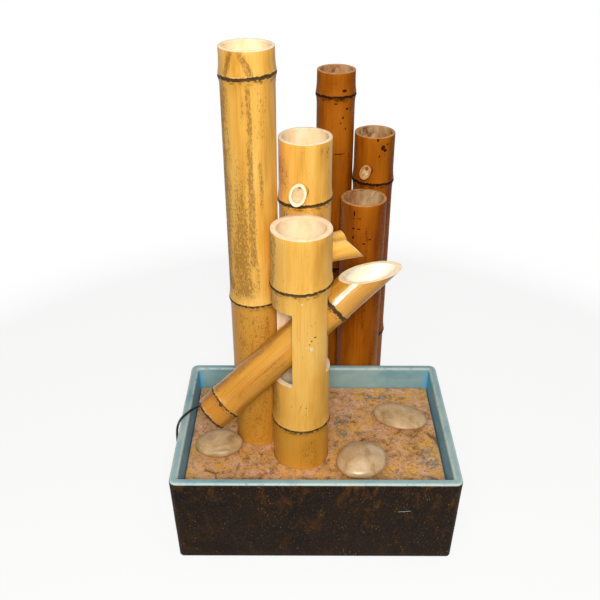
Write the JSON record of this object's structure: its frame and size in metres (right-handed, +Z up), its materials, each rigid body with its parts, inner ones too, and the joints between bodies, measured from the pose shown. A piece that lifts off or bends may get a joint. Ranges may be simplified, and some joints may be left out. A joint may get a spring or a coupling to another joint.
{
  "type": "shishi odoshi",
  "caption": "Bamboo rocker that fills with water, tips and knocks back, on a slotted post in a glazed basin with stones, with more bamboo posts beside and behind it.",
  "frame": {"origin": "middle of the basin's underside, on the surface it stands on", "axes": "+Z up, X to the right seen from the front, Y away from the front, towards the dark posts"},
  "size_m": [0.4073, 0.4084, 0.6867],
  "materials": {
    "basin_glaze": "glossy dark brown glaze outside, grey-teal inside",
    "slab_stone": "rough split stone, tan with ochre and grey patches",
    "pebble_stone": "smooth worn pebble",
    "light_bamboo": "satin golden bamboo with brown mottling",
    "spout_bamboo": "satin pale bamboo",
    "rocker_bamboo": "glossy varnished bamboo",
    "dark_bamboo": "satin smoked bamboo, streaked",
    "cut_bamboo": "dry sawn bamboo",
    "pump_plastic": "satin moulded",
    "rotor_plastic": "satin moulded",
    "shaft_ceramic": "ground",
    "hose_plastic": "clear soft hose, clouded",
    "black_rubber": "matte",
    "lead_jacket": "soft black jacket",
    "plug_metal": "nickel plated"
  },
  "bodies": {
    "frame": {"glazed_basin": "basin_glaze", "stone_slab": "slab_stone", "slab_leg_front_left": "slab_stone", "slab_leg_rear_left": "slab_stone", "slab_leg_front_right": "slab_stone", "slab_leg_rear_right": "slab_stone", "pebble_left": "pebble_stone", "pebble_rear": "pebble_stone", "pebble_front": "pebble_stone", "pivot_post": "light_bamboo", "cup_spout": "spout_bamboo", "pivot_pin": "cut_bamboo", "tall_post": "light_bamboo", "pump_body": "pump_plastic", "pump_foot_front_left": "black_rubber", "pump_foot_rear_left": "black_rubber", "pump_foot_front_right": "black_rubber", "pump_foot_rear_right": "black_rubber", "pump_cover": "pump_plastic", "pump_shaft": "shaft_ceramic", "pump_outlet": "pump_plastic", "riser_hose": "hose_plastic", "feed_post": "light_bamboo", "feed_spout": "spout_bamboo", "side_spout": "spout_bamboo", "dowel_cup_tall_low": "cut_bamboo", "dowel_cup_tall_high": "cut_bamboo", "dowel_cup_feed_low": "cut_bamboo", "dowel_cup_feed_high": "cut_bamboo", "dowel_tall_feed_low": "cut_bamboo", "dowel_tall_feed_high": "cut_bamboo", "dark_cup_post": "dark_bamboo", "dark_tall_post": "dark_bamboo", "dark_feed_post": "dark_bamboo", "dark_spout": "dark_bamboo", "slab_grommet": "black_rubber", "pump_cable_gland": "black_rubber", "pump_cable": "lead_jacket", "power_lead": "lead_jacket", "lead_coil": "lead_jacket", "coil_tie": "black_rubber", "lead_end": "lead_jacket", "plug_grip": "lead_jacket", "plug_barrel": "plug_metal"},
    "rocker": {"rocker": "rocker_bamboo"},
    "impeller": {"pump_impeller": "rotor_plastic"},
    "flow_knob": {"pump_flow_knob": "pump_plastic"}
  },
  "joints": [
    {"name": "rocker_tip", "type": "hinge", "parent": "frame", "child": "rocker", "pos_m": [-0.02, -0.031, 0.318], "axis": [0.342, -0.9397, 0], "range_deg": [-63, 0]},
    {"name": "impeller_spin", "type": "hinge", "parent": "frame", "child": "impeller", "pos_m": [0.10999, 0.0787, 0.0387], "axis": [0, -1, 0], "continuous": true},
    {"name": "flow_knob_turn", "type": "hinge", "parent": "frame", "child": "flow_knob", "pos_m": [0.10999, 0.0572, 0.0511], "axis": [0, -1, 0], "range_deg": [0, 90]}
  ]
}
